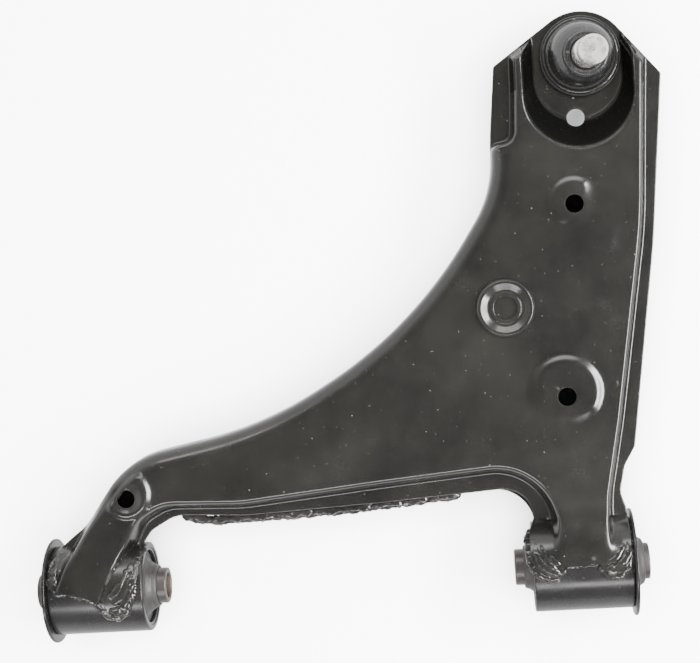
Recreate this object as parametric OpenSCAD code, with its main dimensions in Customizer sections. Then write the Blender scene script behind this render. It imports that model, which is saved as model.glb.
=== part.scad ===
// Lower control arm: a welded box section of two steel pressings that carries
// two rubber bushes on one pivot axis and a ball joint at the outer end.
// X runs along the pivot axis, Y points from the pivot to the ball joint and Z up.
// The origin is the centre of the front bush.

/* [Pressings] */
// Thickness of both pressed sheets
sheet = 2.8; // [2.4:0.1:3.0]
// Height of the upper pressing's flat top above the pivot axis
top_z = 22; // [21.5:0.5:22.5]
// Height of the flanges' upper face, which is also the floor of the ball joint recess
flange_z = 7; // [6.6:0.1:7.2]
// Radius of the rolled edge between the flat top and the side walls
roll_r = 8; // [6:0.5:8.5]
// Diameter of the three drain and locating holes in the flat top
drain_d = 10; // [8:0.5:10.5]
// Height of the embossed pads around those holes
pad_rise = 1.2; // [0.8:0.1:1.6]

/* [Bushes] */
// Distance between the centres of the two bushes
bush_spacing = 270; // [269.5:0.1:270.5]
// Outer diameter of the tubes that hold the bushes
tube_d = 50; // [49.5:0.1:50]
// Length of those tubes
tube_len = 54; // [53:0.5:54.5]
// Wall of those tubes
tube_wall = 3; // [2.6:0.1:3.2]
// Outer diameter of each bush's end flange
flange_d = 59; // [56:0.5:60]
// Outer diameter of the inner sleeves
core_d = 20; // [19:0.5:21]
// Bore of the inner sleeves, for the pivot bolts
core_bore = 14.2; // [12.2:0.1:14.4]
// Length of the inner sleeves
core_len = 74; // [72:0.5:76]

/* [Ball joint] */
// Ball joint centre along the pivot axis
ball_x = 16.2; // [15.8:0.1:16.6]
// Distance from the pivot axis to the ball joint centre
ball_y = 279.5; // [279:0.1:280]
// Ball diameter
ball_d = 26; // [25.6:0.1:26]
// Diameter of the stud's clamped shank
stud_d = 16; // [15:0.5:16]
// Height of the stud's end above the ball centre
stud_len = 55; // [53:0.5:56]
// Stud's resting lean towards the pivot axis, in degrees
lean_back = 5.3; // [0:0.1:6]
// Stud's resting lean along the pivot axis, in degrees
lean_side = 3.6; // [0:0.1:6]

/* [Hidden] */

paint = "#1d1e1f";
rubber = "#2b2a29";
steel = "#b8b6b0";
bare = "#6f665c";
plastic = "#d8d2bf";

$fn = 96;
chord_gap = 0.15;
gap = 0.15;
slip = 0.05;
over = 60;

plate_z = flange_z - sheet;
base_z = plate_z - sheet;
ball_z = 7;
ball_r = ball_d / 2;
tube_r = tube_d / 2;
core_r = core_d / 2;
outer_wall = 1.6;
bush_r = tube_r - tube_wall;
rubber_r = bush_r - outer_wall;
flange_t = 2;

// Outlines run anticlockwise. Each corner is [x, y, radius of its rounding].
// The concave edge from the ball joint down to the rear leg, where the wall has no flange
long_edge = [[-36, 231.5, 8], [-37.3, 208, 64], [-84, 138.4, 240], [-170, 88.8, 205],
    [-249.3, 74.2, 52]];

// How far the trimmed sheets stay inside the wall along that edge
edge_step = 0.35;
// How far the wall's foot stays above the flange's lower face
foot_gap = 0.4;

// Trimmed edge of both pressings, flanges included
trim_outline = concat(
    [[23.5, 4, 0], [23.2, 40, 14], [27.2, 54.5, 8], [32.9, 64.5, 3], [49.9, 175, 500],
        [59.6, 267.5, 2], [21.6, 313.9, 27], [-31.3, 277.8, 2], [-34.6, 243, 0]],
    [for (p = long_edge) p + [edge_step, -edge_step, 0]],
    [[-276.5, 35.5, 10], [-290, 26, 6], [-293, 8, 0], [-238, 8, 0], [-240, 32, 12], [-225, 40.2, 20],
        [-185, 37.8, 60], [-110, 40.6, 200], [-21.8, 46.6, 24], [-22, 4, 0]]);

// Foot of the upper pressing's side wall
wall_outline = concat(
    [[15, 10, 0], [19, 38, 30], [46.8, 186, 300], [53.8, 280, 0], [55.8, 312, 0],
        [-24.3, 312, 0], [-28, 241, 6]],
    long_edge,
    [[-285, 23.5, 0], [-262, 12, 0], [-242, 38, 16], [-228, 46.5, 26], [-180, 44.8, 60],
        [-14.5, 55, 32], [-16, 10, 0]]);

// Ball joint recess: [centre x, centre y, half width] at the rim and at the floor
recess_rim = [13.6, 258, 29.6];
recess_floor = [14.5, 269, 24.4];

// Holes and pads in the flat top: [x, y, pad x, pad y, pad radius]
pads = [[7.3, 198.4, 7, 199.5, 14.5], [-3.1, 94.6, -3.6, 97.5, 20], [-249.4, 52.4, -249.2, 53.4, 12]];
washer_at = [-33.2, 144.6];
washer_r = 15.7;
lock_hole = [11.9, 246.2];
lock_hole_d = 9.7;

// The two tongues that sit on the bush tubes: [x, y, turn about Z] of their ends
front_end = [-0.5, 3.3, 0];
rear_end = [-277.7, 0, -22.5];
climb_start = 30;
climb_end = 12;
saddle_z = tube_r + sheet;

// ---- Paths -------------------------------------------------------------

function unit(v) = v / norm(v);
function left_normal(v) = [-v[1], v[0]];
function xy(p) = [p[0], p[1]];
function wrap(i, n) = (i + n) % n;
function cross2(a, b) = a[0] * b[1] - a[1] * b[0];

// Moves every side of a rounded outline inwards by d and keeps the roundings concentric.
function inset(path, d) = let (n = len(path)) [for (i = [0 : n - 1])
    let (p = xy(path[i]),
        before = unit(p - xy(path[wrap(i - 1, n)])),
        after = unit(xy(path[wrap(i + 1, n)]) - p),
        middle = unit(left_normal(before) + left_normal(after)),
        moved = p + middle * d / (middle * left_normal(before)),
        r = path[i][2],
        turn = sign(cross2(before, after)))
    [moved[0], moved[1], r == 0 ? 0 : max(0.4, r - turn * d)]];

// Replaces each rounded corner by an arc of short chords that stay within chord_gap of it.
function rounded(path) = let (n = len(path)) [for (i = [0 : n - 1])
    let (p = xy(path[i]),
        r = path[i][2],
        u = unit(xy(path[wrap(i - 1, n)]) - p),
        v = unit(xy(path[wrap(i + 1, n)]) - p),
        half = acos(u * v) / 2,
        centre = p + unit(u + v) * r / sin(half),
        first = p + u * r / tan(half) - centre,
        last = p + v * r / tan(half) - centre,
        start = atan2(first[1], first[0]),
        sweep = wrap_angle(atan2(last[1], last[0]) - start),
        steps = ceil((180 - 2 * half) / (2 * acos(1 - min(0.5, chord_gap / max(r, 0.3))))))
    each (r == 0 ? [p] : [for (k = [0 : steps])
        centre + r * [cos(start + sweep * k / steps), sin(start + sweep * k / steps)]])];

function wrap_angle(a) = a > 180 ? a - 360 : a < -180 ? a + 360 : a;
function recess_ring(shape, grow, z) = let (r = shape[2] + grow) concat(
    [for (a = [180 : 10 : 360]) [shape[0] + r * cos(a), shape[1] + r * sin(a), z]],
    [[shape[0] + r, 330, z], [shape[0] - r, 330, z]]);
function smooth(f) = (1 - cos(180 * f)) / 2;

// Skins a stack of rings that all have the same number of points.
module loft(rings) {
    n = len(rings[0]);
    last = (len(rings) - 1) * n;
    sides = [for (j = [0 : len(rings) - 2]) for (i = [0 : n - 1])
        let (a = j * n + i, b = j * n + (i + 1) % n)
        each [[a, a + n, b + n], [a, b + n, b]]];
    bottom = [[for (i = [0 : n - 1]) i]];
    top = [[for (i = [n - 1 : -1 : 0]) last + i]];
    polyhedron(points = [for (r = rings) each r], faces = concat(bottom, sides, top));
}

// ---- Pressings ---------------------------------------------------------

// What is cut away beyond the rounded end and its two shoulders
module beyond_trim() {
    shoulders = rounded([[59.6, 267.5, 0], [21.6, 313.9, 27], [-31.3, 277.8, 0]]);
    translate([0, 0, -over]) linear_extrude(2 * over)
        polygon(concat(shoulders, [[-60, 277.8], [-60, 340], [90, 340], [90, 267.5]]));
}

// Solid block under the flat top. Its edge is rolled over in steps: [distance inside the wall's foot,
// drop below the flat top]. depth is the distance inside the outer skin.
roll_steps = [[0, 0.62], [0.16, 0.3], [0.38, 0.11], [0.72, 0]];

module hat(depth) {
    low = depth > 0 ? base_z : plate_z + foot_gap;
    for (i = [0 : len(roll_steps) - 1]) translate([0, 0, low + i])
        linear_extrude(top_z - roll_r * roll_steps[i][1] - depth - low - i)
            polygon(rounded(inset(wall_outline, depth + roll_r * roll_steps[i][0])));
}

// Block that carries the section up on to a bush tube. It starts at the end's own frame.
module tongue(end, half_w, depth) {
    steps = 5;
    rise = saddle_z - top_z;
    sink = 0.2;
    start = depth > 0 ? -5 : 0;
    drop = depth > 0 ? depth + 0.8 : 0;
    foot = depth > 0 ? base_z - 1 : flange_z + 1.5;
    back = climb_start + (depth > 0 ? 1 : 3);
    w = half_w - depth;
    slope = [for (i = [0 : steps]) [climb_end + (climb_start - climb_end) * i / steps,
        top_z - sink + (rise + sink) * (1 - smooth(i / steps)) - drop]];
    side = concat([[start, foot], [start, saddle_z - drop]], slope,
        [[back, top_z - sink - drop], [back, foot]]);
    translate([end[0], end[1], 0]) rotate([0, 0, end[2]]) translate([-w, 0, 0])
        rotate([90, 0, 90]) linear_extrude(2 * w) polygon(side);
}

module tongues(depth) {
    tongue(front_end, 13.2, depth);
    tongue(rear_end, 12.2, depth);
}

// Room for both tubes and for what sticks out of them
module tube_space() {
    for (x = [0, -bush_spacing]) translate([x, 0, 0]) rotate([0, 90, 0])
        cylinder(r = tube_r + gap, h = tube_len + 20, center = true);
}

module pad_blocks(depth) {
    for (p = pads) translate([p[2], p[3], top_z - sheet - 1])
        cylinder(r1 = p[4], r2 = p[4] - pad_rise - 2 - depth, h = sheet + 1 + pad_rise - depth);
}

module recess_block() {
    loft([recess_ring(recess_floor, sheet, plate_z), recess_ring(recess_rim, 0.6, top_z - 0.5)]);
}

module recess_space() {
    slope = (recess_rim[2] - recess_floor[2]) / (top_z - flange_z);
    drift = (xy(recess_rim) - xy(recess_floor)) / (top_z - flange_z);
    above = [recess_rim[0] + drift[0] * 4, recess_rim[1] + drift[1] * 4, recess_rim[2] + slope * 4];
    loft([recess_ring(recess_floor, 0, flange_z), recess_ring(above, 0, top_z + 4)]);
}

module flange() {
    translate([0, 0, plate_z]) linear_extrude(sheet) difference() {
        polygon(rounded(trim_outline));
        polygon(rounded(inset(wall_outline, sheet / 2)));
    }
}

module drilled_hat() difference() {
    union() {
        difference() {
            union() {
                hat(0);
                tongues(0);
                pad_blocks(0);
            }
            hat(sheet);
            tongues(sheet);
            pad_blocks(sheet);
        }
        recess_block();
    }
    recess_space();
    beyond_trim();
    tube_space();
    for (p = pads) translate([p[0], p[1], flange_z + 2]) cylinder(d = drain_d, h = over);
    translate([lock_hole[0], lock_hole[1], 0]) cylinder(d = lock_hole_d, h = over);
    translate([ball_x, ball_y, 0]) cylinder(r = housing_r, h = over);
}

module upper_shell() color(paint) {
    drilled_hat();
    difference() {
        flange();
        tube_space();
    }
}

// Stiffening panel pressed up into the lower sheet
panel_outline = [[22, 75, 10], [36, 190, 12], [-8, 205, 12], [-24, 165, 60], [-70, 105, 160],
    [-150, 68, 12], [-60, 66, 30]];
panel_rise = 3;

module panel_step(d, z, h) {
    translate([0, 0, z]) linear_extrude(h) polygon(rounded(inset(panel_outline, d)));
}

module lower_shell() color(paint) difference() {
    union() {
        translate([0, 0, base_z]) linear_extrude(sheet) polygon(rounded(trim_outline));
        panel_step(0, base_z, sheet + panel_rise);
    }
    panel_step(sheet, base_z - 1, 1 + panel_rise);
    tube_space();
    translate([lock_hole[0], lock_hole[1], 0]) cylinder(d = lock_hole_d, h = over);
    translate([ball_x, ball_y, -over]) cylinder(r = housing_r, h = 2 * over);
}

// Weld bead: a tube of eight sides that swells a little along its route
module bead(route, r) {
    n = 8;
    last = len(route) - 1;
    rings = [for (i = [0 : last])
        let (along = unit(route[min(i + 1, last)] - route[max(i - 1, 0)]),
            across = unit(cross(along, [0, 0, 1])),
            up = cross(across, along),
            size = r * (i == 0 || i == last ? 0.6 : 1 + 0.14 * sin(i * 137)))
        [for (k = [0 : n - 1]) route[i] + size * (across * cos(-k * 360 / n) + up * sin(-k * 360 / n))]];
    loft(rings);
}

function along_points(points, step) = [for (i = [0 : len(points) - 2])
    let (a = points[i], b = points[i + 1], m = max(1, round(norm(b - a) / step)))
    for (k = [0 : m - (i == len(points) - 2 ? 0 : 1)]) a + (b - a) * k / m];
function on_tube(p) = [p[0], p[1], sqrt(pow(tube_r, 2) - pow(p[1], 2)) + 0.6];

// The seam along the lower edge, where both sheets' flanges are welded together
module seam_weld() color(paint)
    bead(along_points([[-219, 38.6, plate_z], [-206, 37.2, plate_z], [-185, 37, plate_z],
        [-150, 38.2, plate_z], [-110, 39.9, plate_z], [-62, 43.2, plate_z]], 5), 1.9);

module front_tube_weld() color(paint)
    bead([for (p = along_points([[-23.2, 22.5], [-22.8, 9], [-22.2, 3.2], [-20, 2.4], [18.5, 2.4],
        [21.4, 3.2], [21.9, 9], [22.3, 22.5]], 3)) on_tube(p)], 1.6);

module rear_tube_weld() color(paint)
    bead([for (p = along_points([[-289.6, 22.5], [-294.8, 10], [-295, 6.8], [-278, -1], [-262, -7.8],
        [-259.4, -6.6], [-247.6, 22.5]], 3)) on_tube(p)], 1.6);

// Ring-shaped washer with a dished face, welded on the flat top
module dished_washer() color(paint) translate([washer_at[0], washer_at[1], top_z])
    rotate_extrude() polygon([[6.9, 0], [washer_r - 1, 0], [washer_r, 0.8], [washer_r, 2.2],
        [washer_r - 0.8, 3], [washer_r - 2.6, 3], [9.6, 1.8], [6.9, 1.8]]);

// ---- Bushes. side is 1 when the end flange is at +X and -1 when it is at -X. ----

module along_x(x) {
    translate([x, 0, 0]) rotate([0, 90, 0]) children();
}

module bush_tube(x) {
    color(paint) along_x(x) rotate_extrude() polygon([[bush_r, -tube_len / 2], [tube_r - 0.6, -tube_len / 2],
        [tube_r, 0.6 - tube_len / 2], [tube_r, tube_len / 2 - 0.6], [tube_r - 0.6, tube_len / 2],
        [bush_r, tube_len / 2]]);
}

module outer_sleeve(x, side) {
    flange_r = flange_d / 2;
    end = tube_len / 2;
    color(paint) along_x(x) mirror([0, 0, side < 0 ? 1 : 0]) rotate_extrude() polygon([[rubber_r, -end + 0.5],
        [bush_r, -end + 0.5], [bush_r, end], [flange_r, end], [flange_r, end + flange_t - 0.6],
        [flange_r - 0.6, end + flange_t], [rubber_r, end + flange_t]]);
}

module bush_rubber(x, side) {
    end = tube_len / 2;
    inner = core_r + slip;
    color(rubber) along_x(x) mirror([0, 0, side < 0 ? 1 : 0]) rotate_extrude() polygon([[inner, -end - 5],
        [inner + 0.9, -end - 5], [inner + 2.6, -end - 1], [rubber_r - 2.5, -end + 2.5], [rubber_r, -end + 2],
        [rubber_r, end + flange_t], [inner + 6, end + flange_t], [inner + 2.6, end + 4],
        [inner + 0.9, end + 7], [inner, end + 7]]);
}

module inner_sleeve(x) {
    chamfer = 1;
    bore_r = core_bore / 2;
    end = core_len / 2;
    color(bare) along_x(x) difference() {
        rotate_extrude() polygon([[0, -end], [core_r - chamfer, -end], [core_r, -end + chamfer],
            [core_r, end - chamfer], [core_r - chamfer, end], [0, end]]);
        cylinder(r = bore_r, h = core_len + 2, center = true);
    }
}

// ---- Ball joint --------------------------------------------------------

housing_r = 19;
housing_top = 8;
housing_low = -19;
cover_at = -17;
seat_r = ball_r + 1.5;
seat_top = 7;
seat_low = -15;
mouth_r = sqrt(pow(seat_r, 2) - pow(seat_top, 2));
neck_r = 7;

module at_ball() {
    translate([ball_x, ball_y, ball_z]) children();
}

module at_stud() {
    at_ball() rotate([lean_back, 0, 0]) rotate([0, lean_side, 0]) children();
}

module ball_joint_housing() color(paint) at_ball() difference() {
    rotate_extrude() polygon([[0, housing_low], [housing_r - 4, housing_low], [housing_r - 1, housing_low + 1.5],
        [housing_r - 1, -11], [housing_r + 3.5, -9.4], [housing_r + 3.5, base_z - ball_z],
        [housing_r, base_z - ball_z], [housing_r, housing_top - 1], [housing_r - 1, housing_top],
        [0, housing_top]]);
    intersection() {
        sphere(r = seat_r);
        translate([0, 0, seat_low]) cylinder(r = over, h = seat_top - seat_low);
    }
    translate([0, 0, seat_low]) cylinder(r = seat_r, h = -seat_low);
    translate([0, 0, seat_top - 0.01]) cylinder(r = mouth_r, h = 10);
    translate([0, 0, cover_at]) cylinder(r = seat_r + 1, h = seat_low - cover_at);
    translate([0, 0, housing_low - 1]) cylinder(r = seat_r - 1, h = 4);
}

module ball_seat() color(plastic) at_ball() difference() {
    union() {
        intersection() {
            sphere(r = seat_r);
            cylinder(r = seat_r, h = seat_top);
        }
        translate([0, 0, seat_low]) cylinder(r = seat_r, h = -seat_low);
    }
    sphere(r = ball_r + slip);
}

module ball_joint_cover() color(paint) at_ball() translate([0, 0, cover_at]) difference() {
    cylinder(r = seat_r + 1, h = seat_low - cover_at);
    translate([0, 0, -1]) cylinder(r = 5, h = 1.6);
}

module ball_stud() color(steel) at_stud() difference() {
    stud_r = stud_d / 2;
    union() {
        difference() {
            sphere(r = ball_r);
            translate([0, 0, -over - ball_r + 1.5]) cylinder(r = over, h = over);
        }
        rotate_extrude() polygon([[0, 0], [neck_r, 0], [neck_r, 20], [stud_r, 24], [stud_r, 38.5],
            [stud_r - 1.1, 40], [stud_r - 1.6, 42.5], [stud_r - 1.1, 45], [stud_r, 46.5],
            [stud_r, stud_len - 1.6], [stud_r - 1.6, stud_len], [0, stud_len]]);
    }
    translate([0, 0, stud_len - 2]) cylinder(r1 = 0.2, r2 = 1.2, h = 2.01);
}

// The boot's section: [radius, height above the ball centre], outer skin and then inner skin
boot_section = [[20.5, 1.2], [20.5, 2.2], [20.2, 2.8], [20.2, 4.2], [20.6, 4.8], [20.4, 6],
    [18.4, 8.4], [17.2, 12], [16.9, 15.5], [15.4, 19.5], [12.2, 22.2], [11.6, 23.4],
    [11.5, 24.8], [11.8, 25.6], [11, 26.6], [8.4, 26.4], [8.4, 23.2], [10, 20.6],
    [13.6, 17.6], [14.8, 14], [15, 11], [16, 8.5], [19.3, 8.3], [19.3, 1.2]];
boot_base = 6;
boot_lip = 22.2;

function lean_share(h) = smooth(max(0, min(1, (h - boot_base) / (boot_lip - boot_base))));
function turn_y(p, a) = [p[0] * cos(a) + p[2] * sin(a), p[1], p[2] * cos(a) - p[0] * sin(a)];
function turn_x(p, a) = [p[0], p[1] * cos(a) - p[2] * sin(a), p[1] * sin(a) + p[2] * cos(a)];

// Rings that stand level at the base and lean with the stud at the lip
module dust_boot() color(rubber) at_ball() {
    sides = 32;
    rows = len(boot_section);
    points = [for (s = boot_section) let (share = lean_share(s[1])) for (k = [0 : sides - 1])
        let (a = 360 * k / sides)
        turn_x(turn_y([s[0] * cos(a), s[0] * sin(a), s[1]], lean_side * share), lean_back * share)];
    faces = [for (j = [0 : rows - 1]) for (k = [0 : sides - 1])
        let (n = (k + 1) % sides, m = (j + 1) % rows)
        each [[j * sides + k, m * sides + k, m * sides + n], [j * sides + k, m * sides + n, j * sides + n]]];
    polyhedron(points = points, faces = faces);
}

module boot_base_clip() color(paint) at_ball() rotate_extrude()
    translate([21.3, 3.5]) polygon([[-0.7, -0.7], [0.4, -0.7], [0.7, 0], [0.4, 0.7], [-0.7, 0.7]]);

module boot_neck_ring() color(paint) at_stud() rotate_extrude()
    translate([12.5, 24.2]) circle(r = 0.55, $fn = 24);

upper_shell();
lower_shell();
seam_weld();
dished_washer();
bush_tube(0);  // front_bush_tube
front_tube_weld();
outer_sleeve(0, 1);  // front_bush_outer_sleeve
bush_rubber(0, 1);  // front_bush_rubber
inner_sleeve(0);  // front_bush_inner_sleeve
bush_tube(-bush_spacing);  // rear_bush_tube
rear_tube_weld();
outer_sleeve(-bush_spacing, -1);  // rear_bush_outer_sleeve
bush_rubber(-bush_spacing, -1);  // rear_bush_rubber
inner_sleeve(-bush_spacing);  // rear_bush_inner_sleeve
ball_joint_housing();
ball_seat();
ball_joint_cover();
ball_stud();
dust_boot();
boot_base_clip();
boot_neck_ring();
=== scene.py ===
import bpy
import math
import numpy as np
from collections import namedtuple
from mathutils import Matrix, Vector, geometry, kdtree, noise


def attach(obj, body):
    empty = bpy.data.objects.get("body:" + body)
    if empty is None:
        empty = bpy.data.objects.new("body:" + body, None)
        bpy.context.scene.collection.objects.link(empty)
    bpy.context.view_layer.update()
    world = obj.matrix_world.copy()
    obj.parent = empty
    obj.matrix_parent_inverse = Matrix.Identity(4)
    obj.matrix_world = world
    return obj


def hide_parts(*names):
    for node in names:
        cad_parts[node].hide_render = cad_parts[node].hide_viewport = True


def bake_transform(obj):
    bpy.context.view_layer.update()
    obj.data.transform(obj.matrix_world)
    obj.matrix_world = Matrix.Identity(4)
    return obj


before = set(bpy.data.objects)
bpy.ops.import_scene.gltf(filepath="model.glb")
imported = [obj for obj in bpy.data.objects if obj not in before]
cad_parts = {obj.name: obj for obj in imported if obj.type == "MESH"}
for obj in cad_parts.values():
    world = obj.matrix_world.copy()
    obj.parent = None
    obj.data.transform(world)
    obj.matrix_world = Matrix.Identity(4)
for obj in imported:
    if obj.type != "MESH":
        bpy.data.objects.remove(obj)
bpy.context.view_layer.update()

# ---- Sizes in millimetres ----------------------------------------------

MM = 0.001
SHEET = 2.8  # thickness of the upper pressing
TOP = 22.0  # height of the flat top
FLANGE = 7.0  # height of the flange's upper face
RISE = TOP - FLANGE
TUBE_R = 25.0
HUG_R = TUBE_R + SHEET  # where the pressing lies on a tube
LOW_R = TUBE_R + 1.1  # where it thins out into the weld at the rear leg's foot
REAR_X = -270.0
BALL = np.array([16.2, 279.5, 7.0])
LEAN_BACK = math.radians(5.3)
LEAN_SIDE = math.radians(3.6)

# ---- Outlines. Each corner is (x, y, radius), and the metal lies on the left. ----

LONG_EDGE = [(-35.8, 234.6, 5), (-37.0, 208, 64), (-84, 138.4, 240), (-170, 88.8, 205),
             (-249.3, 74.2, 52), (-276.6, 37.0, 24)]
OUTER_EDGE = [(23.3, 39.5, 12), (26.6, 54, 12), (32.9, 64.5, 3), (49.9, 175, 500), (59.6, 267.5, 2),
              (21.6, 313.9, 27), (-31.3, 277.8, 2)]
INNER_EDGE = [(-240, 32, 12), (-225, 40.2, 20), (-185, 37.8, 60), (-110, 40.6, 200), (-26.5, 45.6, 24)]
FRONT_FOOT = [(-24.6, 28.5, 3), (-28.2, 22, 6), (-28.6, 8, 9), (-22.5, -1.6, 6), (-15.2, -1.8, 4),
              (-11.5, 3.1, 2), (8.6, 4, 2), (12.2, -1.8, 4), (19.5, -2.0, 7), (26.2, 6, 7), (26.6, 20, 10),
              (25.9, 31.5, 6)]
REAR_FOOT = [(-285.5, 30.5, 5), (-293.6, 24, 6), (-294.6, 9, 5), (-291, 4.2, 3), (-275, 0.4, 60),
             (-266.6, -5.0, 2), (-263, -11.2, 5), (-254.2, -11.4, 6), (-249.6, 4, 30), (-246.5, 22, 8)]
TRIM = FRONT_FOOT + OUTER_EDGE + [(-35.2, 242, 12)] + LONG_EDGE + REAR_FOOT + INNER_EDGE
LOWER_FOOT_Y = 24.9  # the lower pressing ends at the tubes
LOWER_TRIM = ([(23.4, LOWER_FOOT_Y, 0)] + OUTER_EDGE + [(-35.0, 242, 12)]
              + [(x + 0.5, y - 0.5, r) for x, y, r in LONG_EDGE]
              + [(-284.5, LOWER_FOOT_Y, 0), (-245.5, LOWER_FOOT_Y, 0)] + INNER_EDGE
              + [(-24.6, LOWER_FOOT_Y, 0)])
WALL_RIGHT = [(19, -30, 0), (16.6, 14, 40), (18.6, 40, 50), (26.9, 80, 300), (45.1, 186, 300),
              (51.3, 280, 0), (53.7, 330, 0)]
WALL_LEFT = ([(-21.2, 330, 0), (-22.8, 262, 60), (-24.4, 236.4, 5)] + LONG_EDGE
             + [(-288, 19, 60), (-300, -14, 0)])
WALL_BOTTOM = [(-272, -26, 0), (-255.5, 9, 60), (-242, 37.6, 14), (-229, 44.8, 22), (-185, 43.0, 80),
               (-110, 49.6, 200), (-12.8, 57, 32), (-15.4, 20, 40), (-17.0, -30, 0)]
PANEL = [(22, 75, 10), (36, 190, 12), (-8, 205, 12), (-24, 165, 60), (-70, 105, 160), (-150, 68, 12),
         (-60, 66, 30)]

# The recess for the ball joint: its rim and its floor, each an arc's centre and radius open towards +Y
RIM = (13.6, 258.0, 29.6)
FLOOR = (14.5, 269.0, 24.4)
LOCK_HOLE = (11.9, 246.2, 4.85)
HOUSING_HOLE = (BALL[0], BALL[1], 19.05)

# Raised pads round the holes in the flat top. The pad's slope is wider by the factor fade towards fade_side.
Pad = namedtuple("Pad", "hole centre radius rise slope dish_radius dish_depth fade_side fade")
PADS = [Pad((7.3, 198.4), (7.0, 199.5), 15.4, 1.5, 5.4, 6.0, 0.35, (0.85, -0.53), 1.9),
        Pad((-3.1, 94.6), (-3.6, 97.5), 21.6, 2.0, 6.2, 6.0, 0.35, (-0.6, -0.8), 1.3),
        Pad((-249.4, 52.4), (-248.9, 55.2), 15.2, 2.0, 4.6, 11.0, 2.6, (0.0, 0.0), 0.0)]
HOLE_R = 5.0
DIMPLE = (32.2, 178.0, 6.6, 0.35)  # a shallow dent: x, y, radius across, depth
DIMPLE_LENGTH = 1.5  # its length over its width
WASHER = (-33.2, 144.6)

# Distances from a wall's foot at which the meshes get points
WALL_OFFSETS = [-9, -6.5, -4.5, -3.2, -2.4, -1.8, -1.4, -1.0, -0.6, -0.2, 0.2, 0.6, 1.0, 1.6, 2.2, 2.8,
                3.4, 3.9, 4.4, 4.9, 5.4, 6.0, 6.6, 7.3, 8.1, 9.2, 10.8, 13]
LONG_OFFSETS = [0.25, 0.6, 0.95, 1.3, 1.7, 2.2, 2.8, 3.4, 4.1, 4.8, 5.6, 6.5, 7.4, 8.4, 9.4, 10.5, 11.7,
                13.2, 15]
PANEL_OFFSETS = (-0.8, -0.3, 0, 0.4, 0.9, 1.5, 2.2, 2.9, 3.5, 4.1, 4.6, 5.2)


# ---- Plan geometry -----------------------------------------------------


def trace(corners, step, closed=True):
    """Points and left-hand normals along a path with rounded corners."""
    n = len(corners)
    P = [np.array(c[:2], float) for c in corners]
    pts, nrm = [], []

    def unit(v):
        return v / np.linalg.norm(v)

    radii = [float(c[2]) for c in corners]
    if not closed:
        radii[0] = radii[-1] = 0.0

    def reach(i):
        if radii[i] == 0:
            return 0.0
        u, v = unit(P[i - 1] - P[i]), unit(P[(i + 1) % n] - P[i])
        return radii[i] / math.tan(math.acos(max(-1, min(1, float(u @ v)))) / 2)

    for _ in range(3):
        for i in range(n if closed else n - 1):
            k = (i + 1) % n
            room = 0.97 * np.linalg.norm(P[k] - P[i]) / max(reach(i) + reach(k), 1e-9)
            if room < 1:
                radii[i] *= room
                radii[k] *= room
    ends = []
    for i in range(n):
        p, r = P[i], radii[i]
        if r == 0:
            ends.append((p, p, None, None))
            continue
        u, v = unit(P[i - 1] - p), unit(P[(i + 1) % n] - p)
        half = math.acos(max(-1, min(1, float(u @ v)))) / 2
        t = r / math.tan(half)
        c = p + unit(u + v) * r / math.sin(half)
        ends.append((p + u * t, p + v * t, c, r))
    for i in range(n):
        a, b, c, r = ends[i]
        if c is None:
            before = unit(P[i] - P[i - 1]) if closed or i > 0 else unit(P[i + 1] - P[i])
            after = unit(P[(i + 1) % n] - P[i]) if closed or i < n - 1 else before
            m = unit(np.array([-before[1], before[0]]) + np.array([-after[1], after[0]]))
            pts.append(P[i])
            nrm.append(m)
        else:
            a0, a1 = math.atan2(*(a - c)[::-1]), math.atan2(*(b - c)[::-1])
            sweep = (a1 - a0 + math.pi) % (2 * math.pi) - math.pi
            k = max(2, int(math.ceil(abs(sweep) * max(r, 2.0) / step)))
            for j in range(k + 1):
                th = a0 + sweep * j / k
                d = np.array([math.cos(th), math.sin(th)])
                pts.append(c + r * d)
                nrm.append(d * (-1 if sweep > 0 else 1))
        if i < n - 1 or closed:
            q0, q1 = ends[i][1], ends[(i + 1) % n][0]
            seg = q1 - q0
            length = np.linalg.norm(seg)
            k = int(length / step)
            side = np.array([-seg[1], seg[0]]) / max(length, 1e-9)
            for j in range(1, k):
                pts.append(q0 + seg * j / k)
                nrm.append(side)
    return np.array(pts), np.array(nrm)


def along_distance(q, pts, nrm, closed=False):
    """Signed distance of points q from a path, positive on its left, and the nearest station."""
    n = len(pts)
    tree = kdtree.KDTree(n)
    for i, p in enumerate(pts):
        tree.insert((p[0], p[1], 0), i)
    tree.balance()
    near = np.array([tree.find((x, y, 0))[1] for x, y in q])
    best = np.full(len(q), 1e9)
    for k in (-1, 0):
        i0 = near + k
        ok = np.ones(len(q), bool) if closed else (i0 >= 0) & (i0 < n - 1)
        a = pts[i0 % n]
        ab, ap = pts[(i0 + 1) % n] - a, q - a
        t = np.clip((ap * ab).sum(1) / ((ab ** 2).sum(1) + 1e-12), 0, 1)
        d = ap - t[:, None] * ab
        best = np.where(ok, np.minimum(best, np.hypot(d[:, 0], d[:, 1])), best)
    side = ((q - pts[near]) * nrm[near]).sum(1)
    return best * np.where(side >= 0, 1, -1), near


def inside(q, poly):
    """Which of the points q lie inside a closed outline."""
    x, y = q[:, 0], q[:, 1]
    result = np.zeros(len(q), bool)
    x0, y0 = poly[:, 0], poly[:, 1]
    x1, y1 = np.roll(x0, -1), np.roll(y0, -1)
    for s in range(0, len(q), 4000):
        xx, yy = x[s:s + 4000, None], y[s:s + 4000, None]
        cross = ((y0 > yy) != (y1 > yy)) & (xx < (x1 - x0) * (yy - y0) / (y1 - y0 + 1e-15) + x0)
        result[s:s + 4000] = cross.sum(1) % 2 == 1
    return result


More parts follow.
